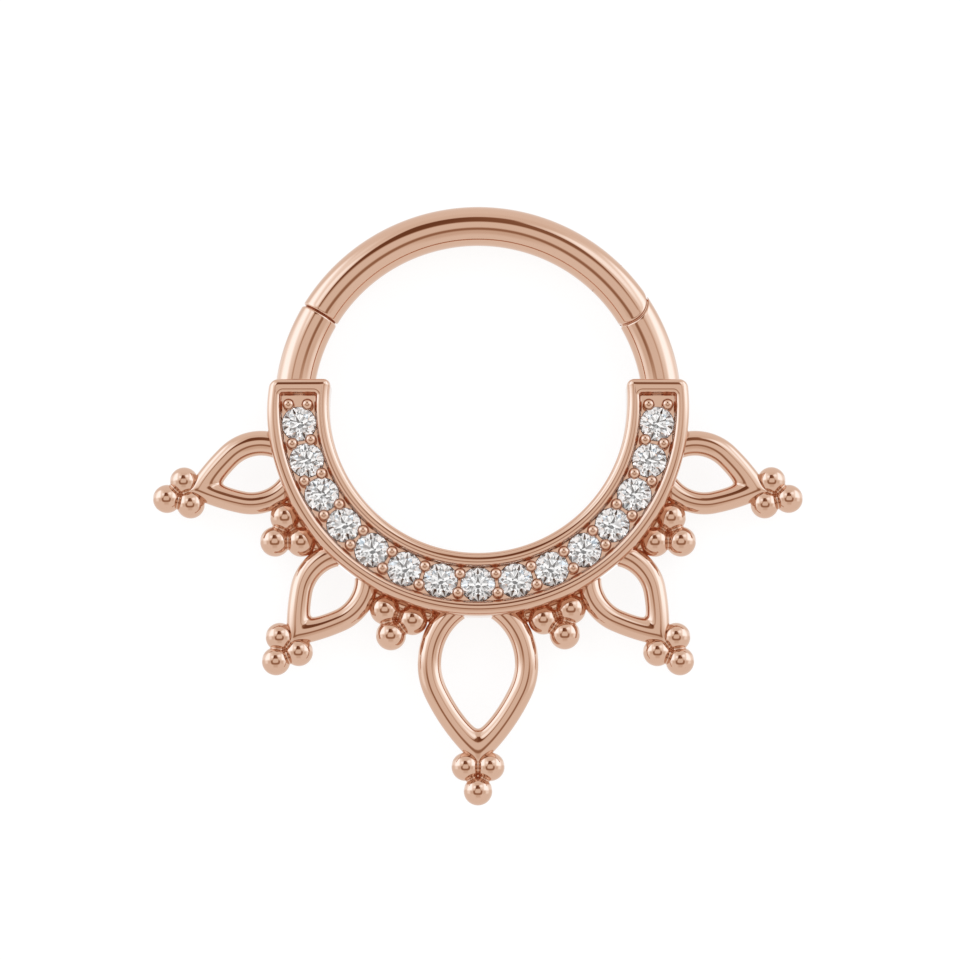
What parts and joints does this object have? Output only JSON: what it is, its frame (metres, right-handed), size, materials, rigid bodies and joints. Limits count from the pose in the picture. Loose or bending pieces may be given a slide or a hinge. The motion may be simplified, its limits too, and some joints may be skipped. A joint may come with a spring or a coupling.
{
  "type": "hinged piercing hoop",
  "caption": "Hinged hoop for a body piercing, with a channel of round stones, leaf-shaped wire petals and clusters of beads along its lower half.",
  "frame": {"origin": "middle of the flat back's plane, under the middle of the whole outline", "axes": "+X to the hinge's side, +Y from the large petal up to the gate, +Z from the flat back to the stones"},
  "size_m": [0.0198, 0.0182, 0.0015],
  "materials": {
    "hoop_frame": "polished rose gold",
    "gate": "polished rose gold",
    "hinge_pin": "plain",
    "stone": "clear, faceted"
  },
  "bodies": {
    "frame": {"hoop_frame": "hoop_frame", "stone_01": "stone", "stone_02": "stone", "stone_03": "stone", "stone_04": "stone", "stone_05": "stone", "stone_06": "stone", "stone_07": "stone", "stone_08": "stone", "stone_09": "stone", "stone_10": "stone", "stone_11": "stone", "stone_12": "stone", "stone_13": "stone", "stone_14": "stone", "stone_15": "stone"},
    "gate": {"gate": "gate", "hinge_pin": "hinge_pin"}
  },
  "joints": [
    {"name": "gate_hinge", "type": "hinge", "parent": "frame", "child": "gate", "pos_m": [0.00445, 0.00632, 0.00075], "axis": [0, 0, -1], "range_deg": [0, 65]}
  ]
}
